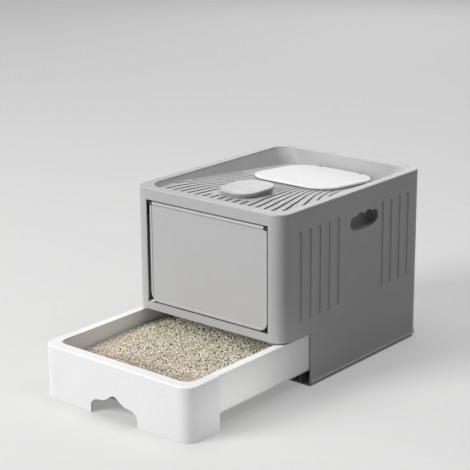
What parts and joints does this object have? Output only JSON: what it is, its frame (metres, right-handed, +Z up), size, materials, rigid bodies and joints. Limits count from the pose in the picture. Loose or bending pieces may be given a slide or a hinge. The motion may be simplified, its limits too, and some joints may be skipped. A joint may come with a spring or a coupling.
{
  "type": "drawer litter box",
  "caption": "Enclosed pet litter box: box housing with swinging front flap, sunken slotted roof with a hinged exit lid, and a pull-out litter drawer.",
  "frame": {"origin": "on the floor, in the middle of the housing's footprint, on the underside of the base", "axes": "+X right as seen from the front, the front with the flap and drawer faces -Y, +Z up; drawn with the drawer pulled out"},
  "size_m": [0.417, 0.8124, 0.401],
  "materials": {
    "base_plinth": "satin moulded",
    "housing_shell": "satin moulded",
    "roof_tray": "satin moulded",
    "left_grip_pocket": "satin moulded",
    "right_grip_pocket": "satin moulded",
    "left_runner": "smooth",
    "right_runner": "smooth",
    "drawer_stops": "smooth",
    "base_screws": "plated",
    "roof_screws": "plated",
    "flap_hinge_brackets": "smooth",
    "bracket_screws": "plated",
    "lid_hinge_brackets": "smooth",
    "odour_cup": "satin moulded",
    "carbon_pad": "felted",
    "odour_cap": "satin moulded",
    "front_flap": "satin moulded",
    "flap_hinge_pins": "smooth",
    "exit_lid": "smooth",
    "lid_hinge_pins": "plated",
    "litter_tub": "satin moulded",
    "drawer_front": "satin moulded",
    "fascia_screws": "plated",
    "glide_pads": "smooth",
    "litter_bed": "loose granules"
  },
  "bodies": {
    "housing": {"base_plinth": "base_plinth", "housing_shell": "housing_shell", "roof_tray": "roof_tray", "left_grip_pocket": "left_grip_pocket", "right_grip_pocket": "right_grip_pocket", "left_runner": "left_runner", "right_runner": "right_runner", "drawer_stops": "drawer_stops", "base_screws": "base_screws", "roof_screws": "roof_screws", "flap_hinge_brackets": "flap_hinge_brackets", "bracket_screws": "bracket_screws", "lid_hinge_brackets": "lid_hinge_brackets", "odour_cup": "odour_cup", "carbon_pad": "carbon_pad"},
    "cup_cap": {"odour_cap": "odour_cap"},
    "flap": {"front_flap": "front_flap", "flap_hinge_pins": "flap_hinge_pins"},
    "lid": {"exit_lid": "exit_lid", "lid_hinge_pins": "lid_hinge_pins"},
    "drawer": {"litter_tub": "litter_tub", "drawer_front": "drawer_front", "fascia_screws": "fascia_screws", "glide_pads": "glide_pads", "litter_bed": "litter_bed"}
  },
  "joints": [
    {"name": "drawer_slide", "type": "slide", "parent": "housing", "child": "drawer", "axis": [0, -1, 0], "range_m": [-0.2889, 0.06]},
    {"name": "front_flap_hinge", "type": "hinge", "parent": "housing", "child": "flap", "pos_m": [0, -0.254, 0.366], "axis": [1, 0, 0], "range_deg": [-75, 75]},
    {"name": "exit_lid_hinge", "type": "hinge", "parent": "housing", "child": "lid", "pos_m": [0, 0.22472, 0.36639], "axis": [-1, 0, 0], "range_deg": [0, 100]},
    {"name": "odour_cap_lift", "type": "slide", "parent": "housing", "child": "cup_cap", "axis": [0, 0, 1], "range_m": [0, 0.03]}
  ]
}
